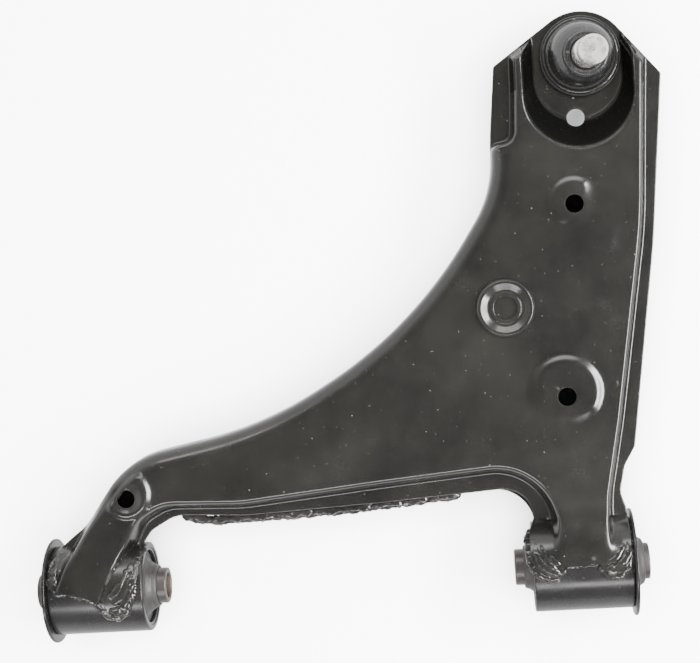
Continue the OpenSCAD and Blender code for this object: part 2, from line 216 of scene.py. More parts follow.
def bend_profile(slope_deg, foot_r, top_r, drop=0.0):
    """Distance inwards from the wall's foot, and share of the way from the flange to the flat top.

    A drop takes the place of the rounded foot: the wall then goes that far below the flange."""
    slope = math.radians(slope_deg)
    turns = np.linspace(0, slope, 9)
    if drop == 0:
        tangent = foot_r * math.tan(slope / 2)
        foot = [(foot_r * math.sin(t) - tangent, foot_r - foot_r * math.cos(t)) for t in turns]
        start = foot[-1]
    else:
        foot = [(0.0, -drop)]
        start = foot[0]
    end_h = RISE - top_r + top_r * math.cos(slope)
    end_d = start[0] + (end_h - start[1]) / math.tan(slope)
    centre = end_d + top_r * math.sin(slope)
    top = [(centre - top_r * math.sin(t), RISE - top_r + top_r * math.cos(t)) for t in turns[::-1]]
    mid = [(start[0] + (end_d - start[0]) * f, start[1] + (end_h - start[1]) * f) for f in (0.33, 0.67)]
    out = np.array(foot + mid + top)
    return out[:, 0], out[:, 1] / RISE


BEND_LONG = bend_profile(86, 2, 9.6, 2.4)
BEND_RIGHT = bend_profile(80, 1.6, 1.8)
BEND_TAB = bend_profile(81, 1.4, 2.2)
BEND_LEG = bend_profile(76, 2.0, 3.2)
BEND_BOTTOM = bend_profile(77, 1.8, 3.0)
LEG_CREST = 6.2  # from the foot of a leg's wall to its crest


def ramp(x, a, b):
    """0 below a, 1 above b, smooth between."""
    t = np.clip((x - a) / (b - a), 0, 1)
    return t * t * (3 - 2 * t)


def recess_t(q):
    """0 on the recess floor's outline, 1 on its rim, by halving."""
    lo, hi = np.full(len(q), -0.6), np.full(len(q), 1.6)
    for _ in range(26):
        t = (lo + hi) / 2
        cx = FLOOR[0] + (RIM[0] - FLOOR[0]) * t
        cy = FLOOR[1] + (RIM[1] - FLOOR[1]) * t
        r = FLOOR[2] + (RIM[2] - FLOOR[2]) * t
        dy = np.minimum(q[:, 1] - cy, 0)
        outside = np.hypot(q[:, 0] - cx, dy) > r
        lo, hi = np.where(outside, t, lo), np.where(outside, hi, t)
    return (lo + hi) / 2


def soft_step(t, width=0.15):
    """A straight climb from 0 to 1 with rounded ends."""
    def soft(x):
        return np.where(x < -width, 0, np.where(x > width, x, (x + width) ** 2 / (4 * width)))
    return soft(t) - soft(t - 1)


class UpperForm:
    """The upper pressing's top surface as a height over the plan."""

    def __init__(self):
        self.trim = trace(TRIM, 1.1)
        self.right = trace(WALL_RIGHT, 1.3, False)
        self.left = trace(WALL_LEFT, 1.3, False)
        self.bottom = trace(WALL_BOTTOM, 1.3, False)

    def climb(self, q):
        """How far the flat top climbs where it runs onto the tubes."""
        front = (1 - ramp(q[:, 1], 10, 34)) * ramp(q[:, 0], -60, -45)
        turn = math.radians(22.5)
        along = (q[:, 0] + 277.7) * math.sin(turn) + q[:, 1] * math.cos(turn)
        rear = (1 - ramp(along, 8, 36)) * (1 - ramp(q[:, 0], -232, -222))
        return (HUG_R - TOP) * np.maximum(front, rear)

    def share(self, q, low, high):
        """0 on the flange, 1 on the flat top, between them on the walls."""
        x, y = q[:, 0], q[:, 1]
        to_right, _ = along_distance(q, *self.right)
        left, near_left = along_distance(q, *self.left)
        bottom, near_bottom = along_distance(q, *self.bottom)
        right = np.interp(to_right, *BEND_RIGHT)
        wall_x, wall_y = self.left[0][near_left].T
        tab = ramp(wall_y, 229.5, 234.5)
        leg = 1 - ramp(wall_x, -278, -262)
        left = (np.interp(left, *BEND_LONG) * (1 - tab - leg) + np.interp(left, *BEND_TAB) * tab
                + np.interp(left, *BEND_LEG) * leg)
        # Where a leg runs onto its tube the wall gets lower, so its foot moves in below a straight crest
        tall = np.clip((high - low) / RISE, 0.2, 1)
        to_bottom = np.where(x < -150, LEG_CREST - (LEG_CREST - bottom) / tall, bottom)
        bottom = np.interp(to_bottom, *BEND_BOTTOM)
        leg = 1 - ramp(self.bottom[0][near_bottom][:, 0], -246, -236)
        bottom = bottom * (1 - leg) + np.interp(to_bottom, *BEND_LEG) * leg
        flare = (1 - ramp(y, 8, 32)) * ramp(x, -60, -45)
        right = right * (1 - flare) + ramp(to_right, -7, 6) * flare
        bottom = bottom * (1 - flare) + ramp(to_bottom, -9, 7) * flare
        walls = np.minimum(np.minimum(right, left), bottom)
        walls = np.minimum(walls, soft_step(recess_t(q), 0.18))
        # The flat strips beside the recess sink to the flange at the trimmed end
        edge, _ = along_distance(q, *self.trim, True)
        return np.minimum(walls, 1 - ramp(y, 255, 264) * (1 - ramp(edge, 0.2, 6.5))), edge

    def height(self, q):
        x, y = q[:, 0], q[:, 1]
        hug = np.sqrt(np.maximum(HUG_R ** 2 - y ** 2, 0))
        seat = np.where(x < -150, LOW_R, HUG_R)
        low = np.maximum(FLANGE, np.sqrt(np.maximum(seat ** 2 - y ** 2, 0)))
        high = np.maximum(TOP + self.climb(q), hug)
        share, edge = self.share(q, low, high)
        z = low + (high - low) * share
        flat = ramp(share, 0.9, 1.0)
        for pad in PADS:
            dx, dy = x - pad.centre[0], y - pad.centre[1]
            rho = np.hypot(dx, dy)
            towards = dx * pad.fade_side[0] + dy * pad.fade_side[1]
            faded = np.clip(towards / np.maximum(rho, 1e-6), 0, 1)
            inner = pad.radius - pad.slope * (1 + pad.fade * faded)
            z += pad.rise * (1 - ramp(rho, inner, pad.radius)) * flat
            rho = np.hypot(x - pad.hole[0], y - pad.hole[1])
            z -= pad.dish_depth * (1 - ramp(rho, HOLE_R - 1.5, pad.dish_radius))
        rho = np.hypot(x - DIMPLE[0], (y - DIMPLE[1]) / DIMPLE_LENGTH)
        z -= DIMPLE[3] * (1 - ramp(rho, 1.5, DIMPLE[2])) * flat
        rounded = np.clip(1 - edge / 0.6, 0, 1)
        z -= 0.5 * (1 - np.sqrt(1 - rounded ** 2 * 0.96)) * (share < 0.6)
        return z


def circle(cx, cy, r, n):
    a = np.arange(n) * 2 * math.pi / n
    return np.stack([cx + r * np.cos(a), cy + r * np.sin(a)], 1)


def plan_mesh(outline, normals, holes, extra):
    """Points and triangles of the plan inside outline and outside the holes, with extra points."""
    loops = [outline] + holes
    keep = inside(extra, outline)
    extra = extra[keep]
    d, _ = along_distance(extra, outline, normals, True)
    extra = extra[np.abs(d) > 0.1]
    for h in holes:
        c, r = h.mean(0), np.linalg.norm(h[0] - h.mean(0))
        extra = extra[np.hypot(*(extra - c).T) > r + 0.15]
    cells = np.round(extra / 0.22).astype(int)
    _, first = np.unique(cells, axis=0, return_index=True)
    extra = extra[np.sort(first)]
    verts, edges = [], []
    for loop in loops:
        s = len(verts)
        verts += [tuple(p) for p in loop]
        edges += [(s + i, s + (i + 1) % len(loop)) for i in range(len(loop))]
    verts += [tuple(p) for p in extra]
    out = geometry.delaunay_2d_cdt([Vector(v) for v in verts], edges, [], 0, 1e-5)
    pts = np.array([v[:] for v in out[0]])
    tri = np.array([f for f in out[2] if len(f) == 3])
    mid = pts[tri].mean(1)
    ok = inside(mid, outline)
    for h in holes:
        ok &= ~inside(mid, h)
    tri = tri[ok]
    a, b, c = pts[tri[:, 0]], pts[tri[:, 1]], pts[tri[:, 2]]
    area = (b[:, 0] - a[:, 0]) * (c[:, 1] - a[:, 1]) - (b[:, 1] - a[:, 1]) * (c[:, 0] - a[:, 0])
    tri[area < 0] = tri[area < 0][:, ::-1]
    used, inv = np.unique(tri, return_inverse=True)
    return pts[used], inv.reshape(-1, 3)


def new_object(name, verts, faces, smooth_angle=32):
    """A mesh object from points in millimetres."""
    mesh = bpy.data.meshes.new(name)
    points = [tuple(np.asarray(v) * MM) for v in verts]
    mesh.from_pydata(points, [], [tuple(int(i) for i in f) for f in faces])
    mesh.validate()
    mesh.shade_smooth()
    mesh.set_sharp_from_angle(angle=math.radians(smooth_angle))
    obj = bpy.data.objects.new(name, mesh)
    bpy.context.scene.collection.objects.link(obj)
    return obj


def thicken(pts3, tri, normals, depth):
    """Closes a surface into a sheet of that thickness below it."""
    n = len(pts3)
    under = pts3 - normals * depth
    edges = np.concatenate([tri[:, [0, 1]], tri[:, [1, 2]], tri[:, [2, 0]]])
    key = {(a, b) for a, b in edges.tolist()}
    rim = [(a, b) for a, b in edges.tolist() if (b, a) not in key]
    faces = [tuple(t) for t in tri.tolist()] + [tuple(n + i for i in t[::-1]) for t in tri.tolist()]
    faces += [(b, a, n + a, n + b) for a, b in rim]
    return np.concatenate([pts3, under]), faces


def point_normals(pts3, tri):
    a, b, c = pts3[tri[:, 0]], pts3[tri[:, 1]], pts3[tri[:, 2]]
    fn = np.cross(b - a, c - a)
    out = np.zeros_like(pts3)
    for k in range(3):
        np.add.at(out, tri[:, k], fn)
    return out / np.linalg.norm(out, axis=1)[:, None]


def wall_points(form):
    """Points at fixed distances from the three walls, dropped where they come near another stretch."""
    out = []
    for wall in (form.right, form.left, form.bottom):
        pts, nrm = wall
        is_left = wall is form.left
        for d in sorted(set(WALL_OFFSETS + LONG_OFFSETS)) if is_left else WALL_OFFSETS:
            q = pts + nrm * d
            if is_left:
                sharp = (pts[:, 1] > 228) | (pts[:, 0] < -262)
                use = sharp if d in WALL_OFFSETS else ~sharp
                if d in WALL_OFFSETS and d in LONG_OFFSETS:
                    use = np.ones(len(q), bool)
                q = q[use]
            dist, _ = along_distance(q, pts, nrm)
            out.append(q[np.abs(dist - d) < 0.12])
    return out


def recess_points():
    out = []
    for t in np.linspace(-0.3, 1.3, 25):
        cx, cy, r = (FLOOR[k] + (RIM[k] - FLOOR[k]) * t for k in range(3))
        a = np.linspace(math.pi, 2 * math.pi, 76)
        out.append(np.stack([cx + r * np.cos(a), cy + r * np.sin(a)], 1))
        for side in (-1, 1):
            yy = np.arange(cy + 1.2, 316, 1.2)
            out.append(np.stack([np.full(len(yy), cx + side * r), yy], 1))
    return out


def pad_points():
    out = []
    for pad in PADS:
        for rho in np.linspace(pad.radius - (1 + pad.fade) * pad.slope - 0.4, pad.radius + 0.6, 18):
            out.append(circle(*pad.centre, rho, 96))
        for rho in np.linspace(HOLE_R + 0.35, pad.dish_radius + 0.3, 9):
            out.append(circle(*pad.hole, rho, 72))
    for rho in np.linspace(0.2, DIMPLE[2] + 0.5, 8):
        ring = circle(0, 0, rho, 40)
        out.append(np.stack([DIMPLE[0] + ring[:, 0], DIMPLE[1] + ring[:, 1] * DIMPLE_LENGTH], 1))
    return out


def grid_points(x0, x1, y0, y1, step, shift):
    gx, gy = np.meshgrid(np.arange(x0, x1, step), np.arange(y0, y1, step))
    return np.stack([gx.ravel() + shift[0], gy.ravel() + shift[1]], 1)


def upper_shell():
    form = UpperForm()
    outline, normals = form.trim
    extra = wall_points(form) + recess_points() + pad_points()
    extra += [outline + normals * d for d in (0.12, 0.28, 0.5, 0.85)]
    grid = grid_points(-296, 62, -14, 312, 2.6, (0.31, 0.17))
    walls = (form.right, form.left, form.bottom)
    near = np.min([np.abs(along_distance(grid, *wall)[0]) for wall in walls], 0)
    t = recess_t(grid)
    extra.append(grid[(near > 5) & ((t > 1.35) | (t < -0.35)) | (grid[:, 1] < 30) & (near > 1.5)])
    on_tubes = np.concatenate([np.arange(-12, 20, 1.0), np.arange(20, 30, 0.5)])
    for x0, x1 in ((-30, 30), (-297, -242)):
        gx, gy = np.meshgrid(np.arange(x0, x1, 1.7), on_tubes)
        extra.append(np.stack([gx.ravel() + 0.11, gy.ravel() + 0.07], 1))
    end = grid_points(-34, 60, 258, 312, 1.3, (0.05, 0.12))
    extra.append(end[along_distance(end, outline, normals, True)[0] < 8])
    holes = [circle(*pad.hole, HOLE_R, 72) for pad in PADS]
    holes += [circle(*LOCK_HOLE, 64), circle(*HOUSING_HOLE, 96)]
    pts, tri = plan_mesh(outline, normals, holes, np.concatenate(extra))
    surface = np.column_stack([pts, form.height(pts)])
    verts, faces = thicken(surface, tri, point_normals(surface, tri), SHEET)
    return new_object("upper_pressing", verts, faces, 38)


def lower_shell():
    """The flat lower pressing with its raised panel."""
    outline, normals = trace(LOWER_TRIM, 1.3)
    panel = trace(PANEL, 1.5)
    extra = [outline + normals * d for d in (0.12, 0.3, 0.6, 1.0)]
    extra += [panel[0] + panel[1] * d for d in PANEL_OFFSETS]
    grid = grid_points(-292, 60, 24, 312, 5.0, (0.3, 0.2))
    extra.append(grid[np.abs(along_distance(grid, *panel, True)[0] - 2.2) > 5])
    holes = [circle(*LOCK_HOLE, 64), circle(*HOUSING_HOLE, 96)]
    pts, tri = plan_mesh(outline, normals, holes, np.concatenate(extra))
    rise = ramp(along_distance(pts, *panel, True)[0], 0, 4.6) * 3.0
    edge = np.clip(1 - along_distance(pts, outline, normals, True)[0] / 0.6, 0, 1)
    bevel = 0.4 * (1 - np.sqrt(1 - edge ** 2 * 0.96))
    top = np.column_stack([pts, 4.15 + rise - bevel])
    low = np.column_stack([pts, 1.4 + rise + bevel])
    verts, faces = thicken(top, tri, top - low, 1.0)
    return new_object("lower_pressing", verts, faces, 38)


# ---- Turned parts ------------------------------------------------------


def lathe(name, profile, origin, axis="z", n=128, angle=30, close=True):
    """Turns (radius, distance along) points about an axis through origin."""
    profile = np.array(profile, float)
    a = np.arange(n) * 2 * math.pi / n
    rings = []
    for r, h in profile:
        ring = np.stack([r * np.cos(a), r * np.sin(a), np.full(n, h)], 1)
        if axis == "x":
            ring = ring[:, [2, 0, 1]]
        rings.append(ring + np.array(origin, float))
    verts = np.concatenate(rings)
    m = len(profile)
    faces = []
    for j in range(m if close else m - 1):
        k = (j + 1) % m
        for i in range(n):
            i2 = (i + 1) % n
            faces.append((j * n + i, j * n + i2, k * n + i2, k * n + i))
    return new_object(name, verts, faces, angle)


def fillet(profile, radii, steps=5):
    """Rounds the corners of a closed section. radii has one radius for each corner."""
    P = [np.array(p, float) for p in profile]
    out = []
    n = len(P)
    for i in range(n):
        r = radii[i] if hasattr(radii, "__len__") else radii
        u, v = P[i - 1] - P[i], P[(i + 1) % n] - P[i]
        lu, lv = np.linalg.norm(u), np.linalg.norm(v)
        if r <= 0 or lu < 1e-6 or lv < 1e-6:
            out.append(P[i])
            continue
        u, v = u / lu, v / lv
        half = math.acos(max(-1, min(1, float(u @ v)))) / 2
        if half > math.pi / 2 - 0.02:
            out.append(P[i])
            continue
        t = min(r / math.tan(half), lu * 0.49, lv * 0.49)
        r = t * math.tan(half)
        c = P[i] + (u + v) / np.linalg.norm(u + v) * r / math.sin(half)
        a0, a1 = math.atan2(*(P[i] + u * t - c)[::-1]), math.atan2(*(P[i] + v * t - c)[::-1])
        sweep = (a1 - a0 + math.pi) % (2 * math.pi) - math.pi
        for k in range(steps + 1):
            th = a0 + sweep * k / steps
            out.append(c + r * np.array([math.cos(th), math.sin(th)]))
    return out


def lean_points(obj, share_of):
    """Leans points about the ball centre by a share of the stud's lean, which depends on their height."""
    for v in obj.data.vertices:
        p = np.array(v.co) / MM - BALL
        s = share_of(p[2])
        ry, rx = Matrix.Rotation(LEAN_SIDE * s, 3, "Y"), Matrix.Rotation(LEAN_BACK * s, 3, "X")
        q = rx @ (ry @ Vector(p))
        v.co = Vector((np.array(q) + BALL) * MM)


def bead(name, route, radius, seed, up_of, flatten=0.75, n=14, wobble=0.22, ripple=2.2, stretch=1.0):
    """An uneven weld bead along a route in millimetres."""
    route = [np.array(p, float) for p in route]
    fine = []
    for a, b in zip(route[:-1], route[1:]):
        k = max(1, int(np.linalg.norm(b - a) / 0.45))
        fine += [a + (b - a) * j / k for j in range(k)]
    fine.append(route[-1])
    fine = np.array(fine)
    for _ in range(12):
        fine[1:-1] = (fine[:-2] + 2 * fine[1:-1] + fine[2:]) / 4
    verts, faces = [], []
    m = len(fine)
    run = 0.0
    for i in range(m):
        d = fine[min(i + 1, m - 1)] - fine[max(i - 1, 0)]
        d /= np.linalg.norm(d)
        up = up_of(fine[i])
        side = np.cross(d, up)
        side /= np.linalg.norm(side)
        up = np.cross(side, d)
        if i:
            run += np.linalg.norm(fine[i] - fine[i - 1])
        end = min(1.0, math.sqrt(max(0.02, min(i, m - 1 - i) * 0.45 / (radius * 1.2))))
        beat = abs(math.sin(run * math.pi / ripple))
        for k in range(n):
            a = 2 * math.pi * k / n
            c, s = math.cos(a), math.sin(a)
            coarse = noise.noise(Vector((run * 0.28 * stretch, c * 1.1 + seed * 7.3, s * 1.1)))
            small = noise.noise(Vector((run * 0.9 * stretch, c * 2.3 + seed * 3.1, s * 2.3 + 5)))
            r = radius * end * (1 + wobble * 1.6 * coarse + wobble * 0.8 * small + 0.09 * beat)
            verts.append(fine[i] + side * c * r * 1.15 + up * s * r * flatten)
    for i in range(m - 1):
        for k in range(n):
            k2 = (k + 1) % n
            faces.append((i * n + k, (i + 1) * n + k, (i + 1) * n + k2, i * n + k2))
    faces.append(tuple(range(n)))
    faces.append(tuple((m - 1) * n + k for k in range(n - 1, -1, -1)))
    return new_object(name, verts, faces, 60)


# ---- Materials ---------------------------------------------------------


def material(name):
    """A new material, its nodes, its shader and the object's coordinates."""
    mat = bpy.data.materials.new(name)
    mat.use_nodes = True
    nt = mat.node_tree
    nt.nodes.clear()
    out = nt.nodes.new("ShaderNodeOutputMaterial")
    bsdf = nt.nodes.new("ShaderNodeBsdfPrincipled")
    nt.links.new(bsdf.outputs[0], out.inputs[0])
    coord = nt.nodes.new("ShaderNodeTexCoord")
    return mat, nt, bsdf, coord.outputs["Object"]


def noise_node(nt, coord, scale, detail=4, rough=0.55):
    t = nt.nodes.new("ShaderNodeTexNoise")
    t.inputs["Scale"].default_value = scale
    t.inputs["Detail"].default_value = detail
    t.inputs["Roughness"].default_value = rough
    nt.links.new(coord, t.inputs["Vector"])
    return t.outputs["Fac"]


def ramp_node(nt, fac, stops):
    r = nt.nodes.new("ShaderNodeValToRGB")
    e = r.color_ramp.elements
    while len(e) < len(stops):
        e.new(0.5)
    for el, (pos, col) in zip(e, stops):
        el.position = pos
        el.color = (*col, 1) if hasattr(col, "__len__") else (col, col, col, 1)
    nt.links.new(fac, r.inputs[0])
    return r.outputs[0]


def mix_colour(nt, fac, a, b):
    m = nt.nodes.new("ShaderNodeMix")
    m.data_type = "RGBA"
    for sock, val in ((0, fac), (6, a), (7, b)):
        if isinstance(val, bpy.types.NodeSocket):
            nt.links.new(val, m.inputs[sock])
        elif hasattr(val, "__len__"):
            m.inputs[sock].default_value = (*val, 1)
        else:
            m.inputs[sock].default_value = val
    return m.outputs[2]


def bump(nt, bsdf, height, strength, distance):
    b = nt.nodes.new("ShaderNodeBump")
    b.inputs["Strength"].default_value = strength
    b.inputs["Distance"].default_value = distance
    nt.links.new(height, b.inputs["Height"])
    nt.links.new(b.outputs[0], bsdf.inputs["Normal"])


def paint_material(name, base, tint, dust, rough, bump_scale, bump_mm, speck=0.0, ior=1.5):
    """Gloss black paint, cloudy between base and tint, with dust specks and worn edges."""
    mat, nt, bsdf, co = material(name)
    cloud = ramp_node(nt, noise_node(nt, co, 22, 5, 0.6), [(0.35, base), (0.72, tint)])
    specks = ramp_node(nt, noise_node(nt, co, 620, 2, 0.5), [(0.73, 0.0), (0.79, dust)])
    colour = mix_colour(nt, specks, cloud, (0.12, 0.11, 0.095))
    geo = nt.nodes.new("ShaderNodeNewGeometry")
    edge = ramp_node(nt, geo.outputs["Pointiness"], [(0.53, 0.0), (0.62, 0.5)])
    colour = mix_colour(nt, edge, colour, (0.03, 0.028, 0.026))
    if speck:
        rust = ramp_node(nt, noise_node(nt, co, 95, 3, 0.6), [(0.71, 0.0), (0.75, speck)])
        colour = mix_colour(nt, rust, colour, (0.07, 0.03, 0.012))
    nt.links.new(colour, bsdf.inputs["Base Color"])
    r = ramp_node(nt, noise_node(nt, co, 60, 5, 0.65), [(0.3, rough - 0.05), (0.75, rough + 0.1)])
    nt.links.new(r, bsdf.inputs["Roughness"])
    bump(nt, bsdf, noise_node(nt, co, bump_scale, 3, 0.5), 1.0, bump_mm * MM)
    bsdf.inputs["IOR"].default_value = ior
    return mat


def rubber_material(name, a, b, rough, ior=1.5):
    """A dusty surface that is cloudy between two colours."""
    mat, nt, bsdf, co = material(name)
    colour = ramp_node(nt, noise_node(nt, co, 130, 6, 0.65), [(0.3, a), (0.75, b)])
    dust = ramp_node(nt, noise_node(nt, co, 420, 2, 0.5), [(0.66, 0.0), (0.76, 0.35)])
    colour = mix_colour(nt, dust, colour, (0.06, 0.055, 0.048))
    nt.links.new(colour, bsdf.inputs["Base Color"])
    r = ramp_node(nt, noise_node(nt, co, 200, 4, 0.6), [(0.3, rough - 0.08), (0.75, rough + 0.12)])
    nt.links.new(r, bsdf.inputs["Roughness"])
    bump(nt, bsdf, noise_node(nt, co, 900, 3, 0.5), 0.6, 0.05 * MM)
    bsdf.inputs["IOR"].default_value = ior
    return mat


def steel_material(name, a, b, rough, stain, stain_amount, metallic):
    """Bare metal, cloudy between two colours and stained in spots."""
    mat, nt, bsdf, co = material(name)
    colour = ramp_node(nt, noise_node(nt, co, 160, 5, 0.6), [(0.3, a), (0.72, b)])
    spots = ramp_node(nt, noise_node(nt, co, 300, 4, 0.7), [(0.52, 0.0), (0.66, stain_amount)])
    colour = mix_colour(nt, spots, colour, stain)
    nt.links.new(colour, bsdf.inputs["Base Color"])
    r = ramp_node(nt, noise_node(nt, co, 260, 4, 0.6), [(0.3, rough - 0.08), (0.75, rough + 0.12)])
    nt.links.new(r, bsdf.inputs["Roughness"])
    bsdf.inputs["Metallic"].default_value = metallic
    bump(nt, bsdf, noise_node(nt, co, 1300, 3, 0.5), 0.5, 0.03 * MM)
    return mat


PAINT = paint_material("paint_gloss_black", (0.0028, 0.0028, 0.0026), (0.0062, 0.0059, 0.0049),
                       0.45, 0.2, 260, 0.008)
PAINT_TUBE = paint_material("paint_tube", (0.0034, 0.0033, 0.0034), (0.007, 0.0064, 0.0064),
                            0.35, 0.25, 320, 0.012, ior=1.36)
# Painted shade: a darker copy of the gloss paint with a weak reflection, for the recess's wall and the steep
# faces at the trimmed end.
PAINT_RECESS_SHADE = paint_material("paint_recess_shade", (0.0010, 0.0010, 0.0009), (0.0022, 0.0022, 0.002),
                              0.2, 0.26, 260, 0.008, ior=1.16)
# Painted shade: a slightly darker copy of the gloss paint with a weaker reflection, for the recess's floor.
PAINT_FLOOR_SHADE = paint_material("recess_floor_painted_shade", (0.0026, 0.0026, 0.0024), (0.005, 0.005, 0.0042),
                           0.4, 0.22, 260, 0.008, ior=1.36)
PAINT_WELD = paint_material("paint_on_weld", (0.003, 0.003, 0.003), (0.010, 0.009, 0.008),
                            0.6, 0.15, 520, 0.035, speck=0.7)
RUBBER = rubber_material("bush_rubber", (0.0065, 0.0058, 0.0053), (0.0125, 0.0112, 0.0103), 0.5)
BOOT = rubber_material("boot_rubber", (0.0035, 0.0035, 0.0035), (0.0065, 0.0065, 0.0066), 0.24, 1.68)
SLEEVE = steel_material("sleeve_steel", (0.055, 0.042, 0.035), (0.10, 0.08, 0.068), 0.42,
                        (0.06, 0.036, 0.024), 0.6, 0.75)
SLEEVE_SIDE = rubber_material("sleeve_side", (0.006, 0.005, 0.0047), (0.013, 0.011, 0.010), 0.38)
STUD = steel_material("stud_steel", (0.70, 0.66, 0.645), (0.88, 0.84, 0.82), 0.28,
                      (0.42, 0.39, 0.36), 0.35, 0.95)
PLASTIC = rubber_material("seat_plastic", (0.5, 0.46, 0.37), (0.66, 0.62, 0.52), 0.45)
# Painted shade: a near-black stand-in for the shade inside the closed box.
CAVITY_SHADE = rubber_material("cavity_painted_shade", (0.0008, 0.0008, 0.0008), (0.0016, 0.0016, 0.0015), 0.85)


def dress(obj, mat, body, node):
    """Gives a piece its material and its body, and hides the CAD node that it stands in for."""
    obj.data.materials.append(mat)
    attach(obj, body)
    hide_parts(node)
    return obj


# ---- Box and washer ----------------------------------------------------


def paint_recess_shade(obj):
    """Painted shade: darker copies of the paint, with weaker reflections, on the recess's wall and floor, and
    on the steep faces at the trimmed end, where shade falls.
    """
    obj.data.materials.append(PAINT_RECESS_SHADE)
    obj.data.materials.append(PAINT_FLOOR_SHADE)
    # Slot 1 holds the painted shade for the walls, slot 2 the painted shade for the floor.
    wall, floor = 1, 2
    middles = np.array([list(face.center) for face in obj.data.polygons]) / MM
    for face, t, (_, y, z) in zip(obj.data.polygons, recess_t(middles[:, :2]), middles):
        if face.normal.z <= 0.05:
            continue
        if t < 1.1:
            face.material_index = wall if 0.02 < t < 0.93 else floor
        elif y > 262 and FLANGE + 1.5 < z < TOP - 0.8:
            face.material_index = wall


def paint_cavity_shade(obj):
    """Painted shade: near-black paint on the lower pressing's top inside the box, standing in for the shade
    there, which shows only through the holes.
    """
    obj.data.materials.append(CAVITY_SHADE)
    for face in obj.data.polygons:
        if face.normal.z > 0.5 and face.center.y < 228 * MM and face.center.x > -262 * MM:
            face.material_index = 1


def washer():
    """A rounded rim, a sunken face and a flat ring round the hole."""
    section = [(6.4, 0.1), (14.9, 0.1), (15.8, 0.9), (15.8, 2.4), (14.6, 3.6), (13.3, 3.4), (10.2, 1.75),
               (8.7, 1.3), (8.5, 2.1), (6.4, 2.1)]
    radii = [0, 0, 0.5, 1.0, 0.9, 0.8, 1.2, 0.3, 0.35, 0.4]
    return lathe("dished_ring", fillet(section, radii), (*WASHER, TOP))


paint_recess_shade(dress(upper_shell(), PAINT, "arm", "upper_shell"))
paint_cavity_shade(dress(lower_shell(), PAINT, "arm", "lower_shell"))
dress(washer(), PAINT, "arm", "dished_washer")


# ---- Bushes ------------------------------------------------------------


def bush(side, x, word):
    """Tube, outer sleeve, rubber and inner sleeve of one bush. side is the sign of X at its flange."""
    at = (x, 0, 0)
    tube = fillet([(22, -27), (TUBE_R, -27), (TUBE_R, 27), (22, 27)], [0.4, 1.0, 1.0, 0.4])
    dress(lathe(word + "_tube", tube, at, "x"), PAINT_TUBE, "arm", word + "_bush_tube")
    sleeve = [(20.4, -26.5), (22.0, -26.5), (22.0, 27), (29.5, 27.0), (29.5, 29.0), (20.4, 29.0)]
    sleeve = fillet([(r, h * side) for r, h in sleeve], [0.5, 0.3, 0.6, 0.8, 0.8, 1.4])
    dress(lathe(word + "_outer_sleeve_skin", sleeve, at, "x"), PAINT_TUBE, "arm",
          word + "_bush_outer_sleeve")
    rubber = [(10.05, -32.0), (11.2, -32.0), (11.9, -31.2), (12.4, -29.4), (14.4, -26.6), (17.0, -24.8),
              (18.6, -24.2), (20.4, -24.6), (20.4, 28.6), (18.0, 28.9), (15.4, 30.0), (13.4, 31.4),
              (12.2, 33.4), (11.2, 34.0), (10.05, 34.0)]
    rubber = fillet([(r, h * side) for r, h in rubber], 0.8, 3)
    dress(lathe(word + "_rubber_body", rubber, at, "x", angle=50), RUBBER, "arm",
          word + "_bush_rubber")
    core = fillet([(7.1, -37), (10, -37), (10, 37), (7.1, 37)], [0.7, 0.9, 0.9, 0.7], 3)
    core = dress(lathe(word + "_inner_sleeve_skin", core, at, "x"), SLEEVE, word + "_bush_core",
                 word + "_bush_inner_sleeve")
    core.data.materials.append(SLEEVE_SIDE)
    for face in core.data.polygons:
        if abs(face.normal.x) < 0.35 and math.hypot(face.center.y, face.center.z) > 9.2 * MM:
            face.material_index = 1


bush(1, 0, "front")
bush(-1, REAR_X, "rear")


# ---- Welds -------------------------------------------------------------


def on_tube(x, y, lift=0.5):
    return (x, y, math.sqrt(max(TUBE_R ** 2 - y * y, 1)) + lift)


def tube_up(p):
    v = np.array([0, p[1], p[2]])
    return v / np.linalg.norm(v)


def tube_weld(name, node, radius, seed, route, lift=0.5, wobble=0.34):
    """A bead along the pressing's edge on a tube."""
    obj = bead(name, [on_tube(x, y, lift) for x, y in route], radius, seed, tube_up, wobble=wobble)
    dress(obj, PAINT_WELD, "arm", node)


def strands(name, node, lift, seed, *routes):
    """Lumpy runs of weld side by side, as one piece. Each route is a radius and then its points."""
    verts, faces = [], []
    for i, (radius, *route) in enumerate(routes):
        run = bead(name + str(i), [on_tube(x, y, lift) for x, y in route], radius, seed + i, tube_up, 0.42,
                   wobble=0.5, ripple=4.0, stretch=0.35)
        base = len(verts)
        verts += [tuple(v.co) for v in run.data.vertices]
        faces += [tuple(base + k for k in face.vertices) for face in run.data.polygons]
        bpy.data.objects.remove(run)
    whole = bpy.data.meshes.new(name)
    whole.from_pydata(verts, [], faces)
    whole.shade_smooth()
    obj = bpy.data.objects.new(name, whole)
    bpy.context.scene.collection.objects.link(obj)
    dress(obj, PAINT_WELD, "arm", node)


